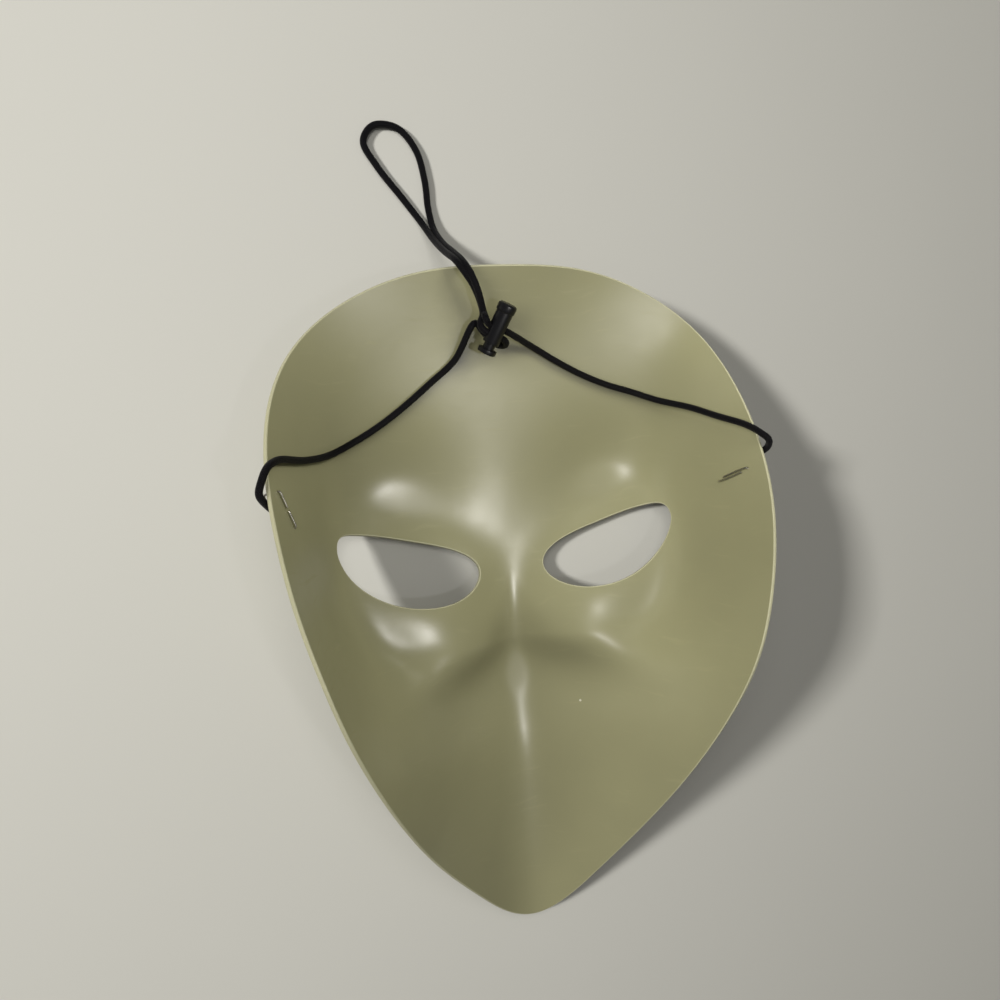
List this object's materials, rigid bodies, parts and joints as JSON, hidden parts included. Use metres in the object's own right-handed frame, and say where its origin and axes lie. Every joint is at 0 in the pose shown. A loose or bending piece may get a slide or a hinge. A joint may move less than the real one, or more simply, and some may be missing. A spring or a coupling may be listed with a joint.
{
  "type": "theatre mask",
  "caption": "Full-face mouthless mask of thin moulded plastic with slanted eye holes, a pointed chin, and a stapled elastic drawn up by a cord lock.",
  "frame": {"origin": "middle of the mask's length and width, on the surface that it lies on", "axes": "+Y towards the forehead, +Z out of the hollow towards the wearer, +X towards the right of the picture"},
  "size_m": [0.1799, 0.3054, 0.0592],
  "materials": {
    "shell_plastic": "moulded plastic in a greyed sage green, satin to glossy, with faint handling wear",
    "staple_steel": "bright zinc-plated staple wire",
    "lock_plastic": "black moulded plastic with a slight sheen",
    "elastic": "black braided elastic cord"
  },
  "bodies": {
    "root": {"mask_shell": "shell_plastic", "staple_left": "staple_steel", "staple_right": "staple_steel", "cord_lock_barrel": "lock_plastic", "cord_lock_plunger": "lock_plastic", "elastic_cord": "elastic"}
  },
  "joints": []
}
